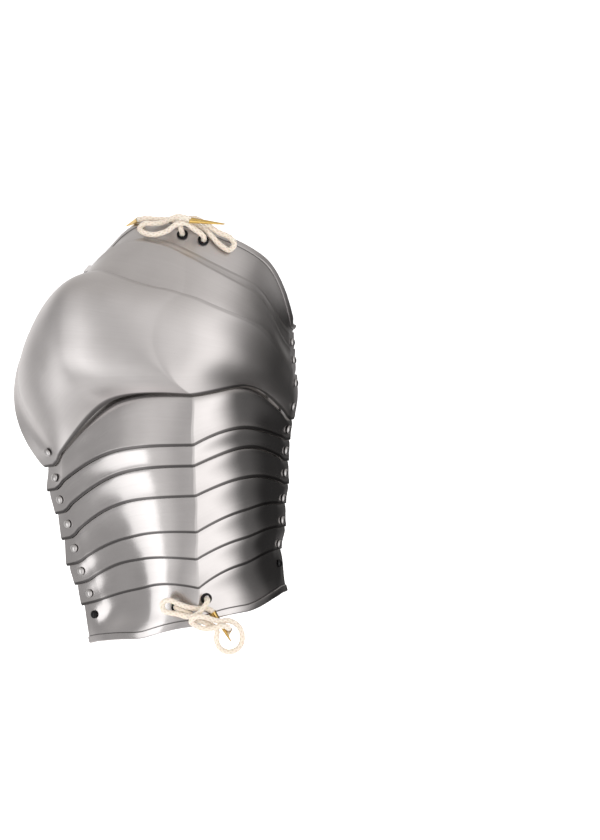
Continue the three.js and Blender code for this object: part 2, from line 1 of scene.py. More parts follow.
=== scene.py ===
"""The looks of an articulated steel pauldron for the right shoulder, seen from straight above.

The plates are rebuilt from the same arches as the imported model, with finer facets, bevels and a
crease that dies out on the dome. Every other piece is a finer form of its node of the model.
"""

import json
import math

import bpy
import numpy as np
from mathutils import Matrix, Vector

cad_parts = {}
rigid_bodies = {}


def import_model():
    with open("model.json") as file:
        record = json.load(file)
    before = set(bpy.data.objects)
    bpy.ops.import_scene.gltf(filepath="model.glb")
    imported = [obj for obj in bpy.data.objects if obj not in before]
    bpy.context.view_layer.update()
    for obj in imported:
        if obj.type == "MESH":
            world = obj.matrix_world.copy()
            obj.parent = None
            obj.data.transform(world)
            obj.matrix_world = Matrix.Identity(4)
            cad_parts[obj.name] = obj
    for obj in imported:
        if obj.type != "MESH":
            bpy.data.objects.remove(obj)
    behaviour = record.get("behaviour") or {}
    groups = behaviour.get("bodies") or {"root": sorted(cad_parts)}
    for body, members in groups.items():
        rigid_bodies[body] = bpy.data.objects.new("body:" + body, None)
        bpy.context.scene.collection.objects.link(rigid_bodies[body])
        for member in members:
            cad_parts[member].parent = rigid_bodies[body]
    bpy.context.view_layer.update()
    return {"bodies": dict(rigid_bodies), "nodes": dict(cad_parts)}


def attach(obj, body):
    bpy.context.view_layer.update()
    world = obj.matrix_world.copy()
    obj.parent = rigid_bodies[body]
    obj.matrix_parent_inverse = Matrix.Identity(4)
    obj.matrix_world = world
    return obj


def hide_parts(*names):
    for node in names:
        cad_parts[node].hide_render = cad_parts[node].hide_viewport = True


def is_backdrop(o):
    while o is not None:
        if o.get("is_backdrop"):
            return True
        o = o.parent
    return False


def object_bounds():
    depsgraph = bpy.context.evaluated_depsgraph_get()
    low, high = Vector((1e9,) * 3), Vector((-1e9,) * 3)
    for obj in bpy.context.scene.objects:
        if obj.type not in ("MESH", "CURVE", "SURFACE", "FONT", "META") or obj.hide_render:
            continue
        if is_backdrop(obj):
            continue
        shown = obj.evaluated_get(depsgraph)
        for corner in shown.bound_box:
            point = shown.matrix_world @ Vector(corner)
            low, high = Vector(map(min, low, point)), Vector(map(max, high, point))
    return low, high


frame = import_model()

MM = 0.001
SHIFT = np.array([0.779, 1.443, 0.0])  # from the arches' own origin to the frame's, in mm

# --------------------------------------------------------------------------------------- camera
CAMERA_OVER = (0.126619, 0.010243)  # the middle of the photograph, in m in the frame
CAMERA_HEIGHT = 4.0
VIEW_TALL = 0.7392  # how much of the table the picture's long side takes in, in m
SENSOR = 36

scene = bpy.context.scene
scene.view_settings.view_transform = "Standard"
camera = bpy.data.objects.new("camera", bpy.data.cameras.new("camera"))
scene.collection.objects.link(camera)
camera.location = (*CAMERA_OVER, CAMERA_HEIGHT)
camera.data.sensor_width = SENSOR
camera.data.lens = SENSOR * CAMERA_HEIGHT / VIEW_TALL
camera.data.clip_end = 100
scene.camera = camera


# --------------------------------------------------------------------------------- plain numbers
def unit(v):
    return v / np.linalg.norm(v, axis=-1, keepdims=True)


def lerp(a, b, t):
    return a + (b - a) * t


def smooth(t):
    t = np.clip(t, 0, 1)
    return t * t * (3 - 2 * t)


def bezier(a, b, c, d, t):
    u = 1 - t
    return u**3 * a + 3 * u * u * t * b + 3 * u * t * t * c + t**3 * d


def col(x):
    return np.asarray(x, float)[..., None]


# --------------------------------------------------------------------------------------- meshes
def build(name, points, faces, uvs=None, values=None, sharp=40):
    """A smooth shaded object. points are mm in the frame, uvs are metres, one per point, and values holds
    named numbers, one per point."""
    mesh = bpy.data.meshes.new(name)
    mesh.from_pydata([tuple(p) for p in np.asarray(points) * MM], [], faces)
    if uvs is not None:
        layer = mesh.uv_layers.new(name="grain")
        loops = np.zeros(len(mesh.loops), int)
        mesh.loops.foreach_get("vertex_index", loops)
        layer.data.foreach_set("uv", np.asarray(uvs, np.float32)[loops].ravel())
    for key, numbers in (values or {}).items():
        mesh.attributes.new(key, "FLOAT", "POINT").data.foreach_set(
            "value", np.asarray(numbers, np.float32).ravel()
        )
    finish_mesh(mesh, sharp)
    obj = bpy.data.objects.new(name, mesh)
    scene.collection.objects.link(obj)
    return obj


def finish_mesh(mesh, sharp):
    mesh.validate()
    mesh.polygons.foreach_set("use_smooth", [True] * len(mesh.polygons))
    mesh.set_sharp_from_angle(angle=math.radians(sharp))
    mesh.update()


def basis(axis):
    axis = unit(np.asarray(axis, float))
    side = np.cross(axis, [0, 1, 0] if abs(axis[1]) < 0.8 else [1, 0, 0])
    side = unit(side)
    return axis, side, np.cross(axis, side)


def lathe(profile, origin, axis, sides=28, swell=None):
    """A closed profile of (radius, height) turned about an axis. Returns points, faces and uvs."""
    axis, side, other = basis(axis)
    turn = np.arange(sides) * 2 * math.pi / sides
    round_ = np.outer(np.cos(turn), side) + np.outer(np.sin(turn), other)
    points, uvs, rings, run = [], [], [], 0.0
    for k, (r, h) in enumerate(profile):
        if k:
            run += math.hypot(r - profile[k - 1][0], h - profile[k - 1][1])
        start = len(points)
        if r < 1e-6:
            points.append(np.asarray(origin) + axis * h)
            uvs.append((0, run * MM))
            rings.append([start])
        else:
            rr = r * (swell(turn, h) if swell else np.ones(sides))
            points.extend(np.asarray(origin) + axis * h + round_ * rr[:, None])
            uvs.extend([(t * r * MM, run * MM) for t in turn])
            rings.append(list(range(start, start + sides)))
    faces = []
    for a, b in zip(rings, rings[1:] + rings[:1]):
        for i in range(sides):
            j = (i + 1) % sides
            quad = [a[i % len(a)], a[j % len(a)], b[j % len(b)], b[i % len(b)]]
            quad = list(dict.fromkeys(quad))
            if len(quad) > 2:
                faces.append(quad)
    return np.array(points), faces, np.array(uvs)


def turned_place(node):
    """Axis, middle, and the heights and radii of the corners of a turned node, in mm. The axis points from
    the middle towards the widest ring."""
    mesh = frame["nodes"][node].data
    co = np.array([v.co for v in mesh.vertices], float) / MM
    co = np.unique(np.round(co, 4), axis=0)
    middle = co.mean(0)
    values, vectors = np.linalg.eigh(np.cov((co - middle).T))
    k = 0 if values[1] - values[0] > values[2] - values[1] else 2
    axis = vectors[:, k]
    h = (co - middle) @ axis
    r = np.linalg.norm(co - middle - np.outer(h, axis), axis=1)
    if h[np.argmax(r)] < (h.min() + h.max()) / 2:
        axis, h = -axis, -h
    return axis, middle, h, r


# ------------------------------------------------------------------------------------ the arches
STEEL = 1.2
PLAY = 0.9
DOME_PLAY = 0.4
NEST = STEEL + PLAY
RISE = 0.12
SINK_CROWN, SINK_END = 0.18, 0.22
TUCK_CROWN, TUCK_END = 12, 18
BEVEL = 2.6
BORDER, BORDER_SHARE, BORDER_STEP = 6, 0.6, 0.6
RIVET_Z = 9.5
FLAT, FLAT_SHARE, END_SHARE, END_TURN = 11, 0.16, 0.1, 6
LEAN_SHARE, SOFT, HANDLE = 0.6, 20, 0.42
END_STRAIGHT = 0.8
CRISP, FADED, FADE_START, FADE_SHARE = 0.012, 0.12, 0.12, 0.42
LAME_CREASE, COLLAR_CREASE = 0.011, 0.11
LAME = {"ends": (48, 70), "crest": (12, 14), "full": 0.42}

ARCHES = {
    "rim": dict(rear=(-61, 138), front=(119, 84), lean=36, height=83, ridge=0.44,
                ends=(74, 76), crest=(3, 3), full=0.42, edge=(7, 24, 35, 24, 24, 36, 9)),
    "collar_outer": dict(rear=(-70, 127), front=(117, 77.5), lean=38.5, height=88, ridge=0.46,
                         ends=(78, 76), crest=(3, 3), full=0.42, edge=(9, 2, 20, 0, -16, 12, 9)),
    "collar_middle": dict(rear=(-79, 115), front=(117.5, 62), lean=41, height=98, ridge=0.46,
                          ends=(84, 76), crest=(3, 3), full=0.44, edge=(9, 6, 22, 0, -19, 15, 10)),
    "collar_inner": dict(rear=(-87, 102), front=(119.5, 41.5), lean=27.5, height=106, ridge=0.48,
                         ends=(90, 78), crest=(4, 4), full=0.52, edge=(9, 41, -14, 0, -11, 22, 8)),
    "joint_1": dict(rear=(-93, -19), front=(115.5, 20.5), lean=16, height=84, ridge=0.628,
                    edge=(-13, 30, 24, 1, 1, 26, -12), **LAME),
    "joint_2": dict(rear=(-91, -42), front=(113.5, 0), lean=1, height=82, ridge=0.615,
                    edge=(-11, 18, 13, 1, 16, 5, -9), **LAME),
    "joint_3": dict(rear=(-84, -61), front=(112, -18.5), lean=1, height=79, ridge=0.609,
                    edge=(-12, 16, 14, 2, 12, 14, -9), **LAME),
    "joint_4": dict(rear=(-78, -82.5), front=(111.5, -38), lean=-3, height=76, ridge=0.6,
                    edge=(-13, 16, 12, 2, 11, 8, -10), **{**LAME, "ends": (45, 70)}),
    "joint_5": dict(rear=(-73, -104), front=(110, -60), lean=-9, height=73, ridge=0.587,
                    edge=(-14, 4, 13, 0, 12, 3, -5), **{**LAME, "ends": (42, 70)}),
    "joint_6": dict(rear=(-65, -123.5), front=(109.5, -79.5), lean=-12, height=70, ridge=0.564,
                    edge=(-11, 5, 15, 0, 11, -1, -6), **{**LAME, "ends": (41, 70)}),
    "joint_7": dict(rear=(-59, -143.5), front=(106, -100), lean=-16, height=67, ridge=0.561,
                    edge=(-9, -7, 21, -1, 15, -4, -5), **{**LAME, "ends": (42, 70)}),
    "hem": dict(rear=(-54, -178), front=(108.5, -133), lean=-18, height=62, ridge=0.531,
                edge=(-8, -11, 8, 3, 8, -14, -10), **{**LAME, "ends": (54, 70)}),
}
LAMES = [(f"lame_{k}", f"joint_{k}", f"joint_{k + 1}" if k < 7 else "hem") for k in range(1, 8)]
COLLARS = [
    ("collar_inner", "collar_inner", "collar_middle"),
    ("collar_middle", "collar_middle", "collar_outer"),
    ("collar_outer", "collar_outer", "rim"),
]
SWELL = [
    (-1, 33.9, 0, 0.6),
    (-0.92, 32.9, 4, 0.05),
    (-0.82, 39, 13, 0.23),
    (-0.6, 43.5, 22, 0.81),
    (-0.3, 48, 17, 1.15),
    (0, 31.4, 29, 0.42),
    (0.4, 38.8, 48, 0.2),
    (0.75, 4, 100, 0),
    (1, 1.5, 175, 0),
]

for arch in ARCHES.values():
    arch["origin"] = np.array([*arch["rear"], RIVET_Z], float)
    line = np.array([*arch["front"], RIVET_Z], float) - arch["origin"]
    arch["span"] = np.linalg.norm(line)
    arch["along"] = line / arch["span"]
    arch["neckward"] = np.array([-arch["along"][1], arch["along"][0], 0])


def profile(arch, c):
    front = c > 0
    t = 1 - np.abs(c)
    slope = np.radians(np.where(front, arch["ends"][1], arch["ends"][0]))
    flat_x, flat_y = FLAT * np.cos(slope), FLAT * np.sin(slope)
    end_y = -RIVET_Z + (flat_y + RIVET_Z) * t / FLAT_SHARE
    end_x = end_y / np.tan(slope)
    top_x = arch["span"] * np.where(front, 1 - arch["ridge"], arch["ridge"])
    chord = np.hypot(top_x - flat_x, arch["height"] - flat_y)
    low = chord * np.where(front, HANDLE, arch["full"])
    high = chord * HANDLE
    start = slope - math.radians(END_TURN)
    crest = np.radians(np.where(front, arch["crest"][1], arch["crest"][0]))
    w = np.clip((t - FLAT_SHARE) / (1 - FLAT_SHARE), 0, 1)
    x = bezier(flat_x, flat_x + low * np.cos(start), top_x - high * np.cos(crest), top_x, w)
    top_y = arch["height"]
    y = bezier(flat_y, flat_y + low * np.sin(start), top_y - high * np.sin(crest), top_y, w)
    flat = t <= FLAT_SHARE
    x, y = np.where(flat, end_x, x), np.where(flat, end_y, y)
    return np.where(front, arch["span"] - x, x), y


def edge_offset(arch, c):
    a, b, d, top, e, f, g = arch["edge"]
    t = np.maximum(0, (1 - np.abs(c) - END_SHARE) / (1 - END_SHARE))
    return np.where(c <= 0, bezier(a, b, d, top, t), bezier(g, f, e, top, t))


def arch_point(arch, c, offset):
    along, height = profile(arch, c)
    r = np.maximum(height, 0)
    up = height - offset * offset * r / (2 * (r * r + SOFT * SOFT))
    lean = math.radians(arch["lean"]) * smooth((1 - np.abs(c)) / LEAN_SHARE)
    point = arch["origin"] + arch["along"] * col(along)
    point = point + arch["neckward"] * col(up * np.sin(lean) + offset * np.cos(lean))
    point[..., 2] += up * np.cos(lean) - offset * np.sin(lean)
    return point


def edge_point(arch, c):
    return arch_point(arch, c, edge_offset(arch, c))


class Surface:
    """A place (c, v) on a plate: c from the rear foot -1 over the ridge 0 to the front foot 1, and v from
    its covered edge 0 to its visible edge 1. crease(v) is half the width over which the ridge is rounded."""

    sign = 1

    def width(self, c):
        return np.linalg.norm(edge_point(self.a, c) - edge_point(self.b, c), axis=-1)

    def point(self, c, v):
        c, v = np.broadcast_arrays(np.asarray(c, float), np.asarray(v, float))
        crease = self.crease(v)
        reach = crease * np.clip(1 - np.abs(c) / (2 * crease), 0, 1)
        steps = (np.arange(9) - 4) / 4
        return sum(self.raw(c + k * reach, v) for k in steps) / len(steps)

    def normal(self, c, v):
        step = 0.004
        c0, c1 = np.maximum(c - step, -1), np.minimum(c + step, 1)
        along_c = self.point(c1, v) - self.point(c0, v)
        along_v = self.point(c, v + step) - self.point(c, v - step)
        return unit(np.cross(along_c, along_v)) * self.sign

    def shell(self, c, v, depth):
        """Points at a depth inside the surface. Feet that would pass the table are cut off there."""
        c, v = np.broadcast_arrays(np.asarray(c, float), np.asarray(v, float))
        p = self.point(c, v) - self.normal(c, v) * col(depth)
        foot = np.abs(c) > 1 - 1e-9
        if foot.any():
            inward = unit(self.point(c * (1 - FLAT_SHARE / 2), v) - self.point(c, v))
            p = np.where(foot[..., None], p - inward * col(p[..., 2] / inward[..., 2]), p)
        return p


class Plate(Surface):
    def __init__(self, a, b, sign, neighbour, crease):
        self.a, self.b, self.sign, self.neighbour = a, b, sign, neighbour
        self.crease = lambda v: np.full(np.shape(v), crease)

    def start_depth(self, c):
        return self.neighbour.end_depth(c) + NEST

    def end_depth(self, c):
        return np.maximum(0, self.start_depth(c) - RISE * self.width(c))

    def depth(self, c, v):
        sink = lerp(SINK_CROWN, SINK_END, np.abs(c) ** 3)
        tucked = self.start_depth(c) - sink * v * self.width(c)
        return np.where(v < 0, tucked, lerp(self.start_depth(c), self.end_depth(c), v))

    def raw(self, c, v):
        w = self.width(c)
        a = arch_point(self.a, c, edge_offset(self.a, c) + self.sign * v * w)
        b = arch_point(self.b, c, edge_offset(self.b, c) - self.sign * (1 - v) * w)
        return lerp(a, b, col(smooth(v)))


class Dome(Surface):
    def __init__(self, lower, upper):
        self.a, self.b = lower, upper

    def crease(self, v):
        """Crisp at the lower edge, and rounded away half way up."""
        return lerp(CRISP, FADED, smooth((v - FADE_START) / FADE_SHARE))

    def depth(self, c, v):
        return np.zeros(np.broadcast(c, v).shape)

    def end_depth(self, c):
        return np.full(np.shape(c), DOME_PLAY)

    def swell(self, c):
        """The numbers of SWELL at c, on smooth curves through its rows."""
        rows = np.array(SWELL, float)
        x, y = rows[:, 0], rows[:, 1:]
        gap = np.diff(x)[:, None]
        rise = np.diff(y, axis=0) / gap
        inner = (rise[:-1] * gap[1:] + rise[1:] * gap[:-1]) / (gap[:-1] + gap[1:])
        slope = np.vstack([rise[:1], inner, rise[-1:]])
        k = np.clip(np.searchsorted(x, c, side="right") - 1, 0, len(x) - 2)
        h = col(gap[k, 0])
        t = col(c - x[k]) / h
        a, b, d = slope[k] * h, slope[k + 1] * h, y[k + 1] - y[k]
        found = y[k] + a * t + (3 * d - 2 * a - b) * t**2 + (a + b - 2 * d) * t**3
        return np.moveaxis(found, -1, 0)

    def raw(self, c, v):
        size, angle, fullness = self.swell(c)
        turn = np.radians(angle)
        out = lerp(self.a["along"], self.b["along"], col(v)) * col(-np.cos(turn))
        out = out + np.array([0, 0, 1.0]) * col(np.sin(turn))
        straight = lerp(edge_point(self.a, c), edge_point(self.b, c), col(v))
        slow = np.maximum(np.sin(math.pi * v), 0) ** (1 + END_STRAIGHT * c**4)
        full = 1 - np.abs(2 * v - 1) ** 3
        return straight + unit(out) * col(size * lerp(slow, full, fullness))


surfaces = {"shoulder": Dome(ARCHES["joint_1"], ARCHES["collar_inner"])}
for sign, chain, crease in ((-1, LAMES, LAME_CREASE), (1, COLLARS, COLLAR_CREASE)):
    neighbour = surfaces["shoulder"]
    for name, a, b in chain:
        surfaces[name] = Plate(ARCHES[a], ARCHES[b], sign, neighbour, crease)
        neighbour = surfaces[name]

# ------------------------------------------------------------------------------------ the plates
# Columns over half a plate, as shares of the way from its foot to its ridge.
HALF = np.concatenate([
    [0, FLAT_SHARE / 4, FLAT_SHARE / 2, 0.75 * FLAT_SHARE, FLAT_SHARE - 0.008, FLAT_SHARE + 0.008],
    np.linspace(FLAT_SHARE + 0.03, 0.965, 34),
    [0.974, 0.982, 0.987, 0.991, 0.994, 0.997, 1],
])
COLUMNS = np.concatenate([HALF - 1, (1 - HALF[:-1])[::-1]])


# Rows across an edge: distance from it, in mm unless said otherwise, how far the outside stands out
# there, in mm, and how much painted shade darkens it there.
BORDER_STEP_ROWS = [(0.55, 0, 0.5), (0.3, -0.12, 1), (0.0, 0.35, 0.75), (-0.3, 0.8, 0.1), (-0.8, 0.9, 0)]
BORDER_EDGE_ROWS = [
    (1.3, 0.9, 0), (0.9, 0.86, 0), (0.55, 0.72, 0), (0.25, 0.42, 0.2), (0.08, 0.15, 0.3), (0, 0, 0.3),
]
LAME_BEVEL_ROWS = [  # distance as a share of the bevel
    (1, 0, 0.1), (0.95, -0.05, 0.6), (0.8, -0.14, 0.85), (0.6, -0.27, 1), (0.4, -0.4, 1),
    (0.22, -0.52, 1), (0.12, -0.58, 1), (0.04, -0.66, 1), (0, -0.8, 1),
]
DOME_BEVEL_ROWS = [
    (0, -0.8, 1), (0.1, -0.64, 1), (0.3, -0.57, 1), (0.6, -0.5, 1), (1.1, -0.38, 1),
    (1.6, -0.25, 0.9), (2.1, -0.12, 0.75), (2.5, -0.04, 0.5), (2.75, 0, 0.05),
]
DOME_BEVEL = 3.3
DOME_TOP_RISE, DOME_TOP_SHADE = 0.6, 0.12  # the upper bevel, as shares of the lower one
# How strongly the painted edge shade darkens the bevelled edges of the lames and of the collars.
LAME_SHADE, COLLAR_SHADE = 1.0, 0.15
LAME_FACE_ROWS, DOME_FACE_ROWS = 13, 46


def tuck(c):
    return lerp(TUCK_CROWN, TUCK_END, np.abs(c) ** 3)


def lame_rows(surface, bordered, dark):
    """Rows of a plate from its covered edge to its visible one: place along v, rise of the outside and
    the painted shade that darkens the bevel or the border's groove there, each one number per column."""
    c = COLUMNS
    w = surface.width(c)
    ones = np.ones_like(c)
    rows = [(-tuck(c) / w * k, 0 * ones, 0 * ones) for k in (1, 0.97, 0.6, 0.3)]
    trim = np.minimum(BORDER, BORDER_SHARE * w) if bordered else np.minimum(BEVEL, 0.5 * w)
    lead = 1 - (trim + (BORDER_STEP + 0.5 if bordered else 0.35)) / w
    rows += [(lead * k, 0 * ones, 0 * ones) for k in np.linspace(0, 1, LAME_FACE_ROWS)]
    if bordered:
        rows += [(1 - (trim + s) / w, r * ones, d * ones) for s, r, d in BORDER_STEP_ROWS]
        rows += [(1 - s / w, r * ones, d * ones) for s, r, d in BORDER_EDGE_ROWS]
    else:
        rows += [(1 - s * trim / w, r * ones, dark * d * ones) for s, r, d in LAME_BEVEL_ROWS]
    return rows


def dome_rows(surface):
    """The rows of the dome, from its lower edge to its upper one."""
    w = surface.width(COLUMNS)
    ones = np.ones_like(COLUMNS)
    rows = [(s / w, r * ones, d * ones) for s, r, d in DOME_BEVEL_ROWS]
    start, end = DOME_BEVEL / w, 1 - DOME_BEVEL / w
    rows += [(lerp(start, end, k), 0 * ones, 0 * ones) for k in np.linspace(0, 1, DOME_FACE_ROWS)]
    for s, r, d in DOME_BEVEL_ROWS[::-1]:
        rows.append((1 - s / w, DOME_TOP_RISE * r * ones, DOME_TOP_SHADE * d * ones))
    return rows


# Degrees beyond which an edge stays sharp. The dome's foot bends more gently than a bevel.
SHARP = {name: 28 if name == "shoulder" else 42 for name in surfaces}


def plate_piece(name, surface, rows):
    """Closes the rows into a sheet: an outside, an inside and the strips round them."""
    c = COLUMNS
    n = len(c)
    knee = [i for i in range(n) if 0 < 1 - abs(c[i]) < FLAT_SHARE / 2 - 1e-9]
    grids, uvs, dark = [], [], []
    middle = surface.point(c, np.full(n, 0.5))
    across = np.concatenate([[0], np.cumsum(np.linalg.norm(np.diff(middle, axis=0), axis=1))])
    w = surface.width(c)
    for v, rise, shade in rows:
        v = np.asarray(v, float) * np.ones(n)
        depth = surface.depth(c, v)
        pair = [surface.shell(c, v, depth - rise), surface.shell(c, v, depth + STEEL)]
        for ring in pair:
            for i in knee:
                foot, next_ = (0, i + 1) if c[i] < 0 else (n - 1, i - 1)
                ring[i] = (ring[foot] + ring[next_]) / 2
        grids.append(pair)
        uvs.append(np.stack([across, v * w.mean()], 1) * MM)
        dark.append(shade)
    m = len(rows)
    points = np.concatenate([np.concatenate([g[k] for g in grids]) for k in (0, 1)]) + SHIFT
    uv = np.concatenate([*uvs, *[u + 0.5 for u in uvs]])
    shade = np.concatenate([*dark, *[0 * d for d in dark]])
    hollow = np.concatenate([np.zeros(m * n), np.ones(m * n)])
    at = lambda k, j, i: (k * m + j) * n + i
    faces = []
    for j in range(m - 1):
        for i in range(n - 1):
            faces.append([at(0, j, i), at(0, j, i + 1), at(0, j + 1, i + 1), at(0, j + 1, i)])
            faces.append([at(1, j, i), at(1, j + 1, i), at(1, j + 1, i + 1), at(1, j, i + 1)])
        faces.append([at(0, j, 0), at(0, j + 1, 0), at(1, j + 1, 0), at(1, j, 0)])
        faces.append([at(0, j, n - 1), at(1, j, n - 1), at(1, j + 1, n - 1), at(0, j + 1, n - 1)])
    for i in range(n - 1):
        faces.append([at(0, 0, i), at(1, 0, i), at(1, 0, i + 1), at(0, 0, i + 1)])
        faces.append([at(0, m - 1, i), at(0, m - 1, i + 1), at(1, m - 1, i + 1), at(1, m - 1, i)])
    if surface.sign < 0:
        faces = [f[::-1] for f in faces]
    return build(f"{name}_plate", points, faces, uv, {"dark": shade, "hollow": hollow}, sharp=SHARP[name])


def pierce(obj, places, sharp):
    """Drills round holes through a plate. places holds (point, axis, radius), in mm in the frame."""
    points, faces = [], []
    for point, axis, radius in places:
        p, f, _ = lathe([(0, -9), (radius, -9), (radius, 9), (0, 9)], point, axis, sides=24)
        faces += [[k + len(points) for k in face][::-1] for face in f]
        points.extend(p)
    cutter = build("cutter", points, faces)
    modifier = obj.modifiers.new("holes", "BOOLEAN")
    modifier.operation, modifier.solver, modifier.object = "DIFFERENCE", "EXACT", cutter
    graph = bpy.context.evaluated_depsgraph_get()
    drilled = bpy.data.meshes.new_from_object(obj.evaluated_get(graph))
    obj.modifiers.clear()
    obj.data = drilled
    finish_mesh(drilled, sharp)
    bpy.data.objects.remove(cutter)


plates = {"shoulder": plate_piece("shoulder", surfaces["shoulder"], dome_rows(surfaces["shoulder"]))}
for chain, dark in ((LAMES, LAME_SHADE), (COLLARS, COLLAR_SHADE)):
    for name, _, b in chain:
        rows = lame_rows(surfaces[name], b in ("hem", "rim"), dark)
        plates[name] = plate_piece(name, surfaces[name], rows)

# ------------------------------------------------------------------ what the shading is made with
class Look:
    """A material and its nodes."""

    def __init__(self, name):
        self.material = bpy.data.materials.new(name)
        self.material.use_nodes = True
        self.nodes = self.material.node_tree.nodes
        self.links = self.material.node_tree.links
        self.shader = self.nodes["Principled BSDF"]

    def node(self, kind, inputs=(), **settings):
        node = self.nodes.new(kind)
        for key, value in settings.items():
            setattr(node, key, value)
        for key, value in dict(inputs).items():
            if isinstance(value, bpy.types.NodeSocket):
                self.links.new(value, node.inputs[key])
            else:
                node.inputs[key].default_value = value
        return node

    def math(self, operation, a, b=0.0, c=0.0):
        return self.node("ShaderNodeMath", {0: a, 1: b, 2: c}, operation=operation).outputs[0]

    def mix(self, share, a, b):
        node = self.node("ShaderNodeMix", {"Factor": share, "A": a, "B": b}, data_type="RGBA")
        return node.outputs["Result"]

    def uv(self, across, along):
        """The grain map, scaled, as a vector."""
        uv = self.node("ShaderNodeUVMap", uv_map="grain").outputs[0]
        return self.node("ShaderNodeMapping", {"Vector": uv, "Scale": (across, along, 1)}).outputs[0]

    def place(self):
        return self.node("ShaderNodeTexCoord").outputs["Object"]

    def noise(self, vector, scale, detail=2.0, roughness=0.5, distortion=0.0):
        inputs = {"Vector": vector, "Scale": scale, "Detail": detail, "Roughness": roughness}
        node = self.node("ShaderNodeTexNoise", {**inputs, "Distortion": distortion})
        return node.outputs["Fac"]

    def ramp(self, value, low, high, to_low=0.0, to_high=1.0):
        inputs = {"Value": value, "From Min": low, "From Max": high, "To Min": to_low, "To Max": to_high}
        return self.node("ShaderNodeMapRange", inputs).outputs["Result"]

    def value(self, name):
        return self.node("ShaderNodeAttribute", attribute_name=name).outputs["Fac"]

    def bump(self, height, strength, distance, normal=None):
        inputs = {"Height": height, "Strength": strength, "Distance": distance}
        if normal is not None:
            inputs["Normal"] = normal
        return self.node("ShaderNodeBump", inputs).outputs["Normal"]

    def out(self, **sockets):
        for key, value in sockets.items():
            socket = self.shader.inputs[key.replace("_", " ")]
            if isinstance(value, bpy.types.NodeSocket):
                self.links.new(value, socket)
            else:
                socket.default_value = value
        return self.material


def steel_look(name, satin):
    """Steel with a roughness near satin, ground along each plate: long fine lines, a few scratches, soft
    unevenness from the hammer, and painted shade that darkens the filed edges. The inside of a plate is
    duller."""
    look = Look(name)
    lines = look.noise(look.uv(18, 2400), 1.0, 2, 0.6)
    streaks = look.noise(look.uv(16, 750), 1.0, 4, 0.65, 0.2)
    broad = look.noise(look.uv(7, 60), 1.0, 3, 0.55)
    cloud = look.noise(look.place(), 22, 3, 0.5)
    hammer = look.noise(look.place(), 26, 1, 0.3)
    scratch = look.ramp(look.noise(look.uv(60, 2100), 1.0, 1, 0.5, 1.4), 0.73, 0.78)
    speck = look.ramp(look.noise(look.place(), 900, 1, 0.5), 0.79, 0.84)
    dark, hollow = look.value("dark"), look.value("hollow")

    steel = look.mix(look.ramp(cloud, 0.3, 0.7), (0.6, 0.575, 0.57, 1), (0.66, 0.635, 0.63, 1))
    steel = look.mix(look.ramp(streaks, 0.35, 0.72, 0, 0.13), steel, (0.45, 0.425, 0.41, 1))
    steel = look.mix(look.math("MULTIPLY", scratch, 0.25), steel, (0.8, 0.79, 0.78, 1))
    steel = look.mix(look.math("MULTIPLY", speck, 0.3), steel, (0.2, 0.19, 0.18, 1))
    # Painted shade: the bevels, the dome's edges and the border's groove are darkened towards near black.
    painted_edge_shade = look.math("MULTIPLY", dark, look.ramp(streaks, 0.2, 0.8, 1.0, 0.8))
    steel = look.mix(painted_edge_shade, steel, (0.075, 0.07, 0.07, 1))
    dull = look.mix(look.ramp(broad, 0.3, 0.7), (0.34, 0.325, 0.31, 1), (0.42, 0.405, 0.39, 1))
    steel = look.mix(hollow, steel, dull)

    rough = look.ramp(lines, 0.25, 0.75, satin - 0.04, satin + 0.05)
    rough = look.math("ADD", rough, look.ramp(cloud, 0.3, 0.7, -0.02, 0.03))
    rough = look.math("ADD", rough, look.math("MULTIPLY", dark, 0.12))
    rough = look.math("ADD", rough, look.math("MULTIPLY", hollow, 0.18))
    fine = look.bump(look.math("ADD", lines, look.math("MULTIPLY", streaks, 2.0)), 0.12, 0.00004)
    fine = look.bump(scratch, 0.3, 0.00002, fine)
    normal = look.bump(hammer, 0.35, 0.0012, fine)
    tangent = look.node("ShaderNodeTangent", direction_type="UV_MAP", uv_map="grain").outputs[0]
    return look.out(
        Base_Color=steel, Metallic=1.0, Roughness=rough, Normal=normal, Anisotropic=0.55,
        Anisotropic_Rotation=0.25, Tangent=tangent,
    )


def rivet_look():
    """Rivet steel with turning marks, and painted shade where the head meets the plate."""
    look = Look("rivet steel")
    cloud = look.noise(look.place(), 260, 3, 0.6)
    marks = look.noise(look.place(), 1900, 2, 0.6)
    pit = look.ramp(look.noise(look.place(), 1200, 1, 0.5), 0.7, 0.78)
    base = look.mix(look.ramp(cloud, 0.3, 0.7), (0.5, 0.485, 0.48, 1), (0.6, 0.585, 0.58, 1))
    base = look.mix(look.math("MULTIPLY", pit, 0.5), base, (0.25, 0.24, 0.23, 1))
    # Painted shade: the rivet's foot is darkened towards near black where its head meets the plate.
    foot = look.value("foot")
    base = look.mix(look.math("MULTIPLY", foot, 0.95), base, (0.03, 0.028, 0.028, 1))
    rough = look.math("ADD", look.ramp(marks, 0.3, 0.7, 0.26, 0.34), look.math("MULTIPLY", foot, 0.2))
    return look.out(Base_Color=base, Metallic=1.0, Roughness=rough, Normal=look.bump(marks, 0.2, 0.00006))


def black_look():
    """Blackened metal, glossy, rubbed to a brownish bare metal in scattered patches."""
    look = Look("blackened metal")
    cloud = look.noise(look.place(), 420, 4, 0.6)
    marks = look.noise(look.place(), 1500, 2, 0.6)
    rub = look.ramp(cloud, 0.6, 0.78, 0, 0.55)
    base = look.mix(rub, (0.012, 0.012, 0.013, 1), (0.11, 0.095, 0.085, 1))
    rough = look.ramp(marks, 0.3, 0.7, 0.17, 0.34)
    return look.out(Base_Color=base, Metallic=0.75, Roughness=rough, Normal=look.bump(marks, 0.25, 0.00008))


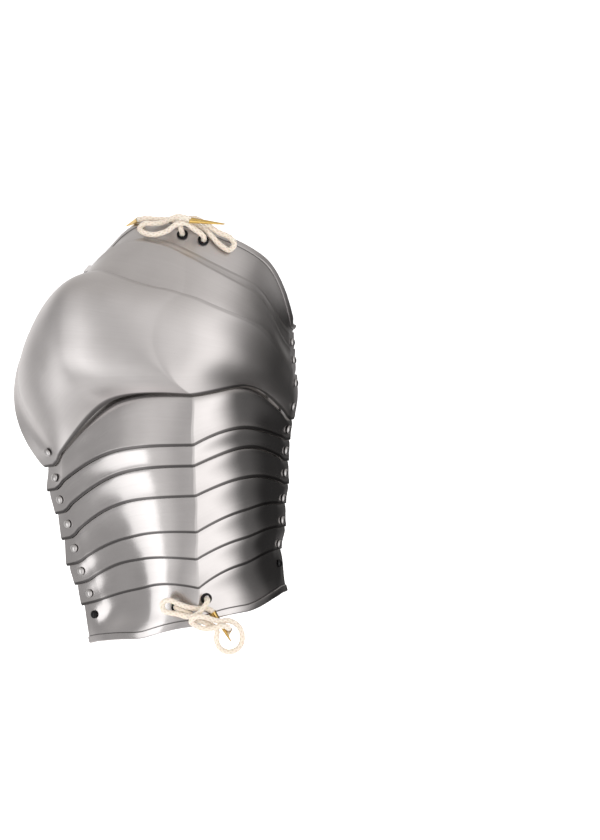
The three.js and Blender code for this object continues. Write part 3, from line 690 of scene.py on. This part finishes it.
def cotton_look():
    """Unbleached cotton: strands that cross round the cord, fine fibres, a little grey soiling, and painted
    shade in the valleys between the strands.
    """
    look = Look("cotton cord")
    twist = look.node("ShaderNodeTexWave", {"Vector": look.uv(1, 1), "Scale": 330.0, "Distortion": 1.2,
                      "Detail": 2.0, "Detail Scale": 3.0}, bands_direction="DIAGONAL").outputs["Fac"]
    fibre = look.noise(look.uv(1, 1), 2600, 3, 0.7, 0.8)
    soil = look.noise(look.place(), 60, 3, 0.55)
    base = look.mix(look.ramp(soil, 0.35, 0.7), (0.78, 0.705, 0.61, 1), (0.71, 0.62, 0.52, 1))
    base = look.mix(look.ramp(fibre, 0.3, 0.75, 0, 0.3), base, (0.86, 0.81, 0.73, 1))
    # Painted shade: the valleys between the strands are darkened.
    base = look.mix(look.math("MULTIPLY", look.value("valley_shade"), 0.6), base, (0.5, 0.4, 0.3, 1))
    height = look.math("ADD", look.math("MULTIPLY", twist, 0.8), fibre)
    normal = look.bump(height, 0.5, 0.00018)
    return look.out(
        Base_Color=base, Roughness=look.ramp(fibre, 0.2, 0.8, 0.82, 0.95), Normal=normal, Sheen_Weight=0.25,
        Specular_IOR_Level=0.2, Subsurface_Weight=0.08, Subsurface_Scale=0.002,
    )


def brass_look():
    """Drawn brass, scratched along its length, darker in its seam."""
    look = Look("brass")
    drawn = look.noise(look.uv(2600, 60), 1.0, 3, 0.6)
    cloud = look.noise(look.place(), 160, 3, 0.6)
    base = look.mix(look.ramp(cloud, 0.3, 0.7), (0.72, 0.47, 0.13, 1), (0.86, 0.63, 0.24, 1))
    base = look.mix(look.ramp(drawn, 0.35, 0.75, 0, 0.3), base, (0.5, 0.3, 0.08, 1))
    base = look.mix(look.math("MULTIPLY", look.value("seam"), 0.85), base, (0.14, 0.08, 0.03, 1))
    rough = look.ramp(drawn, 0.25, 0.75, 0.2, 0.36)
    return look.out(Base_Color=base, Metallic=1.0, Roughness=rough, Normal=look.bump(drawn, 0.25, 0.00006))


def leather_look():
    """Dark brown harness leather: pebbled grain, creases, and burnished edges."""
    look = Look("harness leather")
    pebble = look.node("ShaderNodeTexVoronoi", {"Vector": look.uv(1, 1), "Scale": 900.0, "Randomness": 1.0},
                       feature="DISTANCE_TO_EDGE").outputs["Distance"]
    grain = look.ramp(pebble, 0.0, 0.18)
    crease = look.noise(look.uv(1, 2.4), 60, 5, 0.65, 0.6)
    cloud = look.noise(look.place(), 45, 3, 0.5)
    base = look.mix(look.ramp(cloud, 0.3, 0.7), (0.052, 0.026, 0.014, 1), (0.095, 0.052, 0.03, 1))
    base = look.mix(look.ramp(grain, 0.0, 1.0, 0.55, 0), base, (0.02, 0.01, 0.006, 1))
    base = look.mix(look.ramp(crease, 0.6, 0.8, 0, 0.35), base, (0.17, 0.1, 0.06, 1))
    base = look.mix(look.math("MULTIPLY", look.value("burnish"), 0.75), base, (0.02, 0.011, 0.008, 1))
    rough = look.ramp(crease, 0.2, 0.8, 0.42, 0.62)
    normal = look.bump(look.math("ADD", grain, look.math("MULTIPLY", crease, 1.5)), 0.45, 0.00022)
    return look.out(Base_Color=base, Roughness=rough, Normal=normal, Specular_IOR_Level=0.4)


BRUSHED_ROUGHNESS, SATIN_ROUGHNESS = 0.19, 0.37
BRUSHED = steel_look("brushed steel", BRUSHED_ROUGHNESS)
SATIN = steel_look("satin steel", SATIN_ROUGHNESS)
RIVET_STEEL, BLACK = rivet_look(), black_look()
COTTON, BRASS, LEATHER = cotton_look(), brass_look(), leather_look()


def dress(obj, material, node, body):
    obj.data.materials.clear()
    obj.data.materials.append(material)
    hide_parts(node)
    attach(obj, body)
    return obj


# ------------------------------------------------------------------- cords and aglets come first
CORD_RADIUS = 2.3
STRANDS, TWIST, STRAND_RISE, STRAND_SINK = 4, 1.25, 0.11, 0.05  # count, radians a mm, and mm
CORD_STEP, CORD_SIDES = 0.6, 24
CORD_TOP = [
    (-15, 182.5, 50), (-12.3, 183.3, 54.5), (-7.5, 183.5, 58), (0, 183, 59), (8, 182.5, 60),
    (15, 182.3, 62), (22, 180, 64.5), (28, 178.5, 66), (35, 177.5, 66), (43, 174, 66.5),
    (49, 168.5, 68), (56.5, 160.5, 69.5), (64.5, 155.8, 68.5), (69, 160.5, 66), (65.5, 166.5, 64.5),
    (55, 171.5, 66), (43, 179.5, 65.5), (34, 183.5, 67), (27.5, 182, 70), (22.5, 178, 72.5),
    (22.8, 174.2, 72.3), (23.9, 170.6, 68.5), (24.3, 167.1, 63.3), (26.5, 162.5, 57.5), (33, 160.5, 55),
    (39, 159.5, 57.5), (41.2, 162.1, 64.3), (42.9, 165.9, 70.8), (41, 169, 73.5), (34, 174, 74.5),
    (27, 178.5, 77), (19, 177.5, 77), (11, 172, 73.5), (0, 169, 72.5), (-9.5, 171, 66),
    (-13, 175, 61), (-8, 179, 63), (-3, 178.8, 64.5), (6, 179.5, 65.5), (14, 182.5, 71),
    (20, 184.5, 77), (26, 183.5, 80.5), (32, 181, 79),
]
CORD_HEM = [
    (51.5, -158.5, 70), (48.5, -155.5, 71.2), (44, -154, 72), (38, -154, 72.5), (30, -153, 75),
    (21, -150, 74.5), (13, -147, 72.5), (7, -149.5, 71), (8.5, -156, 72.5), (20, -158.7, 75.5),
    (29, -161, 76.5), (36, -159.5, 77.5), (42, -154, 77), (46, -147.6, 73.2), (44.8, -145.7, 67.1),
    (43.1, -145, 62), (39.5, -146.5, 56.5), (31, -150, 53.5), (24, -152.8, 55.5), (20.8, -153.5, 60.3),
    (18.6, -153.5, 67.3), (21.5, -154.8, 71.8), (29, -157.5, 71.5), (36, -163, 72.8),
    (44, -166.5, 72.5), (51, -169.5, 70), (54, -174, 66.5), (53.5, -182, 61.5), (57, -189.5, 58),
    (64.5, -192.5, 56.5), (73, -188.5, 57.5), (76, -179, 60.5), (72.5, -169.5, 64.5), (65, -165, 67.5),
    (57, -165, 72.5), (50, -163.5, 76.5), (43, -161, 81), (36.5, -160.8, 82.5), (32, -165, 80.5),
    (36.5, -169, 77.5), (44, -171.5, 76.5), (52, -170.5, 76), (59, -169, 75), (63.5, -170, 72),
    (64.3, -172.5, 67.5),
]
CORDS = {
    "top": ("collar_outer", CORD_TOP, [(-26, 178.5, 24), (61, 178, 73.5)]),
    "hem": ("lame_7", CORD_HEM, [(66, -183, 62), (63.5, -179, 40)]),
}


def smooth_route(route, step):
    """A centripetal Catmull-Rom curve through the points, resampled at even steps."""
    p = np.array(route, float) + SHIFT
    p = np.vstack([2 * p[0] - p[1], p, 2 * p[-1] - p[-2]])
    fine = []
    for p0, p1, p2, p3 in zip(p, p[1:], p[2:], p[3:]):
        d0, d1, d2 = (math.sqrt(np.linalg.norm(b - a)) for a, b in ((p0, p1), (p1, p2), (p2, p3)))
        m1 = ((p1 - p0) / d0 - (p2 - p0) / (d0 + d1) + (p2 - p1) / d1) * d1
        m2 = ((p2 - p1) / d1 - (p3 - p1) / (d1 + d2) + (p3 - p2) / d2) * d1
        t = np.linspace(0, 1, 24, endpoint=False)[:, None]
        a, b = 2 * p1 - 2 * p2 + m1 + m2, -3 * p1 + 3 * p2 - 2 * m1 - m2
        fine.append(p1 + m1 * t + b * t**2 + a * t**3)
    fine = np.vstack([*fine, p[-2:-1]])
    run = np.concatenate([[0], np.cumsum(np.linalg.norm(np.diff(fine, axis=0), axis=1))])
    even = np.linspace(0, run[-1], round(run[-1] / step) + 1)
    return np.stack([np.interp(even, run, fine[:, k]) for k in range(3)], 1), run[-1]


def cord_piece(name, route):
    """A braided tube along a route. Strands that cross both ways raise a diamond pattern on it."""
    path, length = smooth_route(route, CORD_STEP)
    n, sides = len(path), CORD_SIDES
    tangent = unit(np.gradient(path, axis=0))
    side = basis(tangent[0])[1]
    turn = np.arange(sides) * 2 * math.pi / sides
    points, uvs, valley_shade = [], [], []
    for k in range(n):
        side = unit(side - tangent[k] * (side @ tangent[k]))
        other = np.cross(tangent[k], side)
        s = k * length / (n - 1)
        weave = np.maximum(np.cos(STRANDS * turn + TWIST * s), np.cos(STRANDS * turn - TWIST * s))
        r = CORD_RADIUS + STRAND_RISE * weave - STRAND_SINK
        ends = min(s, length - s)
        r = r * math.sqrt(min(1, 0.35 + ends))
        points.append(path[k] + np.outer(np.cos(turn) * r, side) + np.outer(np.sin(turn) * r, other))
        uvs.extend([(t / (2 * math.pi) * 0.0145, s * MM) for t in turn])
        # Painted shade: how deep a point lies between the strands, which darkens it.
        valley_shade.extend(np.clip(0.35 - weave, 0, 1))
    points = np.concatenate(points)
    faces = []
    for k in range(n - 1):
        for i in range(sides):
            j = (i + 1) % sides
            faces.append([k * sides + i, k * sides + j, (k + 1) * sides + j, (k + 1) * sides + i])
    faces += [list(range(sides))[::-1], [(n - 1) * sides + i for i in range(sides)]]
    cord = build(f"cord_{name}_braid", points, faces, uvs, {"valley_shade": valley_shade}, sharp=70)
    return cord, path * MM, length * MM


def aglet_piece(name, start, tip):
    """A cone rolled from sheet brass round the end of a cord, with its seam along one side."""
    start, tip = np.array(start) + SHIFT, np.array(tip) + SHIFT
    reach = np.linalg.norm(tip - start)
    roll = lambda turn, h: 1 + 0.05 * np.clip(1 - turn / 5.2, 0, 1)
    rows = [(2.2, 1.4), (2.32, -1.6), (2.45, -2.0), (2.6, -1.9), (2.62, -1.4), (2.5, -0.4), (2.46, 1)]
    rows += [(lerp(2.46, 0.62, k), lerp(1, reach - 1.0, k)) for k in np.linspace(0.08, 1, 12)]
    rows += [(0.45, reach - 0.4), (0.2, reach - 0.05), (0, reach), (0, 1.6)]
    points, faces, uvs = lathe(rows, start, tip - start, sides=28, swell=roll)
    _, side, other = basis(tip - start)
    rel = points - start
    angle = np.mod(np.arctan2(rel @ other, rel @ side), 2 * math.pi)
    seam = np.maximum(np.exp(-((angle / 0.12) ** 2)), np.exp(-(((2 * math.pi - angle) / 0.12) ** 2)))
    return build(name, points, faces, uvs, {"seam": seam}, sharp=38)


for name, (body, route, tips) in CORDS.items():
    cord, path, length = cord_piece(name, route)
    dress(cord, COTTON, f"cord_{name}", body)
    for k, tip in enumerate(tips):
        aglet = aglet_piece(f"aglet_{name}_{k + 1}_cone", route[-1 if k else 0], tip)
        dress(aglet, BRASS, f"aglet_{name}_{k + 1}", body)

# --------------------------------------------------------------------------- rivets and eyelets
RIVET_HOLE, EYELET_HOLE = 2.45, 3.8  # radii, in mm
RIVET_FLANGE, EYELET_FLANGE = 3.5, 4.7  # corners of the CAD solid beyond these radii are on its flange
RIVET_HEAD, RIVET_LIP = 3.6, 0.3
BODY_OF = {
    name: next(body for body, empty in frame["bodies"].items() if empty == node.parent)
    for name, node in frame["nodes"].items()
}
holes = {name: [] for name in plates}


def rivet_piece(node, material):
    axis, middle, h, r = turned_place(node)
    seat, bottom, top = h[r > RIVET_FLANGE].min(), h.min(), h.max()
    rise = top - seat - RIVET_LIP
    dome = [(RIVET_HEAD * math.cos(a), seat + RIVET_LIP + rise * math.sin(a))
            for a in np.linspace(0, 1.35, 9)]
    rows = [(0, bottom), (1.5, bottom), (2.3, bottom + 0.14), (2.6, bottom + 0.42), (2.5, bottom + 0.7),
            (1.9, bottom + 0.72), (1.9, seat), (3.4, seat), (3.56, seat + 0.1), *dome, (0, top)]
    points, faces, uvs = lathe(rows, middle, axis, sides=28)
    height = (points - middle) @ axis - seat
    # Painted shade: full up to the seat of the head, fading out half a mm above it.
    foot = np.clip(1 - height / 0.5, 0, 1)
    obj = build(f"{node}_domed", points, faces, uvs, {"foot": foot}, sharp=50)
    dress(obj, material, node, BODY_OF[node])
    return middle, axis


strap_holes = []
for node in sorted(frame["nodes"]):
    if node.startswith("rivet_"):
        middle, axis = rivet_piece(node, RIVET_STEEL)
        inner_plate = node.removeprefix("rivet_").rsplit("_", 1)[0]
        for plate in (BODY_OF[node], inner_plate):
            holes[plate].append((middle, axis, RIVET_HOLE))
    elif node.startswith("strap_rivet_"):
        middle, axis = rivet_piece(node, BLACK)
        holes["lame_7"].append((middle, axis, RIVET_HOLE))
        strap_holes.append((middle, axis, RIVET_HOLE))
    elif node.startswith("eyelet_"):
        axis, middle, h, r = turned_place(node)
        low, base, top = h.min(), h[r > EYELET_FLANGE].min(), h.max()
        rows = [(3.0, low + 0.05), (2.9, low + 0.4), (2.9, top - 0.5), (2.98, top - 0.22), (3.2, top - 0.05),
                (3.6, top), (4.1, top - 0.06), (4.5, top - 0.28), (4.78, top - 0.6), (4.9, base + 0.15),
                (4.84, base), (3.6, base), (3.6, low + 0.8), (4.5, low + 0.8), (4.6, low + 0.55),
                (4.5, low + 0.2), (4.1, low), (3.4, low)]
        points, faces, uvs = lathe(rows, middle, axis, sides=40)
        dress(build(f"{node}_ring", points, faces, uvs, sharp=50), BLACK, node, BODY_OF[node])
        holes[BODY_OF[node]].append((middle, axis, EYELET_HOLE))

for name, plate in plates.items():
    pierce(plate, holes[name], SHARP[name])
    dress(plate, BRUSHED if name.startswith("lame") else SATIN, name, name)

# -------------------------------------------------------------------------------- the arm strap
STRAP = dict(width=22, thickness=2.2, rivet_back=16, tab=7, gap=1.9, sag=4)
STRAP_SHARP = 42


def seat_on(surface, c, v):
    on = lambda dc, dv: surface.shell(c + dc, v + dv, surface.depth(c + dc, v + dv))
    out = np.cross(on(0.01, 0) - on(-0.01, 0), on(0, 0.01) - on(0, -0.01)) * surface.sign
    return on(0.0, 0.0), unit(out)


def strap_piece():
    """A leather band between two rivets: beside the plate at both ends, slack in the middle."""
    lame, seats = surfaces["lame_7"], []
    for side in (-1, 1):
        flat_height = FLAT * math.sin(math.radians(ARCHES["hem"]["ends"][0 if side < 0 else 1]))
        c = side * (1 - FLAT_SHARE * RIVET_Z / (RIVET_Z + flat_height))
        back = STRAP["rivet_back"] + abs(float(edge_offset(ARCHES["hem"], np.array(c))))
        seats.append(seat_on(lame, c, 1 - back / float(lame.width(np.array(c)))))
    rear, front = seats
    line = (front[0] - rear[0])[:2]
    length = np.linalg.norm(line)
    across = np.array([*(line / length), 0])

    def half(seat, side):
        at, out = seat
        level = math.hypot(out[0], out[1])
        depth = STEEL + STRAP["gap"] + STRAP["thickness"] / 2
        x = (0 if side < 0 else length) - side * depth * level
        z = at[2] - depth * out[2]
        dx, dz = -side * out[2], level
        found = []
        tab = STRAP["tab"]
        for d, turn in ((-4.5, 0), (0, 0), (tab, 0), (tab + 5, 9), (tab + 12, 22)):
            a = math.atan2(dz, abs(dx)) - math.radians(turn)
            found.append((x + d * math.cos(a) * np.sign(dx), z + d * math.sin(a)))
        return found

    sag = [(t * length, STRAP["sag"] * (1 + k)) for t, k in ((0.25, 0.8), (0.4, 0), (0.6, 0), (0.75, 0.8))]
    spine = np.array([*half(rear, -1), *sag, *half(front, 1)[::-1]], float)
    flat = np.column_stack([spine, np.zeros(len(spine))])
    route, _ = smooth_route(flat - SHIFT, 2.5)
    route = route[:, :2]
    run = ARCHES["hem"]["origin"] - ARCHES["joint_7"]["origin"]
    run = run / np.linalg.norm(run)
    tangent = unit(np.gradient(route, axis=0))
    normal = np.stack([-tangent[:, 1], tangent[:, 0]], 1)
    s = np.concatenate([[0], np.cumsum(np.linalg.norm(np.diff(route, axis=0), axis=1))])
    half_w, half_t = STRAP["width"] / 2, STRAP["thickness"] / 2
    under = [(0, -0.45), (0.3, -0.85), (1.1, -1), (3.2, -1)]  # mm from the side, half thicknesses
    over = [(0, 0.45), (0.3, 0.85), (1.1, 1), (2.0, 0.9), (3.2, 1)]
    ring = [(d - half_w, t) for d, t in under] + [(0, -1)] + [(half_w - d, t) for d, t in under[::-1]]
    ring += [(half_w - d, t) for d, t in over] + [(0, 1)] + [(d - half_w, t) for d, t in over[::-1]]
    m, points, uvs, burnish = len(ring), [], [], []
    for k, (x, z) in enumerate(route):
        ends = min(s[k], s[-1] - s[k])
        narrow = math.sqrt(max(1 - max(0, 1 - ends / 3.0) ** 2, 0.0)) * 0.12 + 0.88
        for y, t in ring:
            p = rear[0] * [1, 1, 0] + across * (x + normal[k, 0] * t * half_t)
            p = p + [0, 0, z + normal[k, 1] * t * half_t] + run * y * narrow
            points.append(p + SHIFT)
            uvs.append(((y + 30 * (t > 0)) * MM, s[k] * MM))
            burnish.append(1.0 if abs(y) > half_w - 1.2 or ends < 0.5 else 0.0)
    faces = []
    for k in range(len(route) - 1):
        for i in range(m):
            j = (i + 1) % m
            faces.append([k * m + i, k * m + j, (k + 1) * m + j, (k + 1) * m + i])
    faces += [list(range(m))[::-1], [(len(route) - 1) * m + i for i in range(m)]]
    return build("arm_strap_leather", points, faces, uvs, {"burnish": burnish}, sharp=55)


strap = strap_piece()
pierce(strap, strap_holes, STRAP_SHARP)
dress(strap, LEATHER, "arm_strap", "lame_7")

# ----------------------------------------------------------------------------- floor and lights
paper = Look("white paper")
paper.out(Base_Color=(0.93, 0.93, 0.93, 1), Roughness=0.9, Specular_IOR_Level=0.0,
          Emission_Color=(1, 1, 1, 1), Emission_Strength=0.6)
backdrop = Look("white backdrop")
backdrop.out(Base_Color=(0.93, 0.93, 0.93, 1), Roughness=0.9, Specular_IOR_Level=0.0,
             Emission_Color=(1, 1, 1, 1), Emission_Strength=1.2)


def paper_sheet(name, points, faces, look):
    """A plain part of the studio. The steel reflects the room and not the paper."""
    mesh = bpy.data.meshes.new(name)
    mesh.from_pydata(points, [], faces)
    mesh.materials.append(look.material)
    sheet = bpy.data.objects.new(name, mesh)
    sheet.visible_glossy = False
    scene.collection.objects.link(sheet)
    sheet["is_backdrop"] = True
    return sheet


ROOM_HALF, ROOM_TOP, FLOOR_LEVEL = 14, 14, -0.0003
corners = [(x * ROOM_HALF, y * ROOM_HALF) for x, y in ((-1, -1), (1, -1), (1, 1), (-1, 1))]
paper_sheet("floor", [(*c, FLOOR_LEVEL) for c in corners], [(0, 1, 2, 3)], paper)
walls = paper_sheet("walls", [(*c, z) for z in (FLOOR_LEVEL, ROOM_TOP) for c in corners],
                    [(k, (k + 1) % 4, (k + 1) % 4 + 4, k + 4) for k in range(4)], backdrop)
walls.visible_diffuse = walls.visible_shadow = walls.visible_transmission = False

# The room round the object, by direction: bright panels to the left and right, darker beyond them.
# Degrees turn from straight up towards +X.
ROOM = [
    (-180, 0.9), (-158, 1.2), (-130, 1.0), (-115, 0.75), (-100, 0.48), (-88, 0.42), (-80, 0.45), (-68, 0.7),
    (-52, 0.9), (-42, 0.82), (-33, 0.54), (-24, 0.66), (-12, 0.98), (18, 1.05), (26, 1.4), (46, 1.6),
    (56, 1.3), (66, 0.7), (74, 0.33), (82, 0.16), (97, 0.12), (112, 0.03), (132, 0.03), (146, 0.12),
    (165, 0.5), (180, 0.9),
]
world = bpy.data.worlds.new("room")
scene.world = world
world.use_nodes = True
tree = world.node_tree
for node in list(tree.nodes):
    tree.nodes.remove(node)


def room_node(kind, inputs=(), **settings):
    node = tree.nodes.new(kind)
    for key, value in settings.items():
        setattr(node, key, value)
    for key, value in dict(inputs).items():
        if isinstance(value, bpy.types.NodeSocket):
            tree.links.new(value, node.inputs[key])
        else:
            node.inputs[key].default_value = value
    return node


direction = room_node("ShaderNodeTexCoord").outputs["Generated"]
along_x, along_y, up = room_node("ShaderNodeSeparateXYZ", {0: direction}).outputs
turn = room_node("ShaderNodeMath", {0: along_x, 1: up}, operation="ARCTAN2").outputs[0]
share = room_node("ShaderNodeMath", {0: turn, 1: 1 / (2 * math.pi), 2: 0.5}, operation="MULTIPLY_ADD")
strip = room_node("ShaderNodeValToRGB", {"Fac": share.outputs[0]})
stops = strip.color_ramp.elements
while len(stops) < len(ROOM):
    stops.new(0.5)
for stop, (angle, brightness) in zip(stops, ROOM):
    stop.position = angle / 360 + 0.5
    stop.color = (brightness / 2, brightness / 2 * 0.985, brightness / 2 * 0.975, 1)
# Towards the neck the room is even and a little darker.
far = room_node("ShaderNodeMapRange", {"Value": along_y, "From Min": 0.2, "From Max": 0.7,
                                        "To Max": 0.8}, interpolation_type="SMOOTHSTEP").outputs["Result"]
even = room_node("ShaderNodeMix", {"Factor": far, "A": strip.outputs[0], "B": (0.31, 0.3, 0.29, 1)},
                 data_type="RGBA").outputs["Result"]
glow = room_node("ShaderNodeBackground", {"Color": even, "Strength": 2.0}).outputs[0]
tree.links.new(glow, room_node("ShaderNodeOutputWorld").inputs["Surface"])


def panel(name, place, aim, size, watts, shiny=False):
    """A soft panel. Only a shiny one is seen in the reflections."""
    data = bpy.data.lights.new(name, "AREA")
    data.shape = "RECTANGLE"
    data.size, data.size_y = size
    data.energy = watts
    lamp = bpy.data.objects.new(name, data)
    lamp.location = place
    lamp.rotation_mode = "QUATERNION"
    lamp.rotation_quaternion = (Vector(aim) - Vector(place)).to_track_quat("-Z", "Y")
    lamp.visible_glossy = shiny
    lamp.visible_camera = False
    scene.collection.objects.link(lamp)


panel("key", (-0.9, -0.5, 2.2), (0, 0, 0), (1.1, 1.1), 20)
panel("fill", (1.4, 0.9, 1.9), (0, 0, 0), (1.6, 1.6), 10)
panel("card", (-0.408, -0.44, 0.235), (0, -0.44, 0.05), (0.8, 0.25), 0.65, True)

low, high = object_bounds()
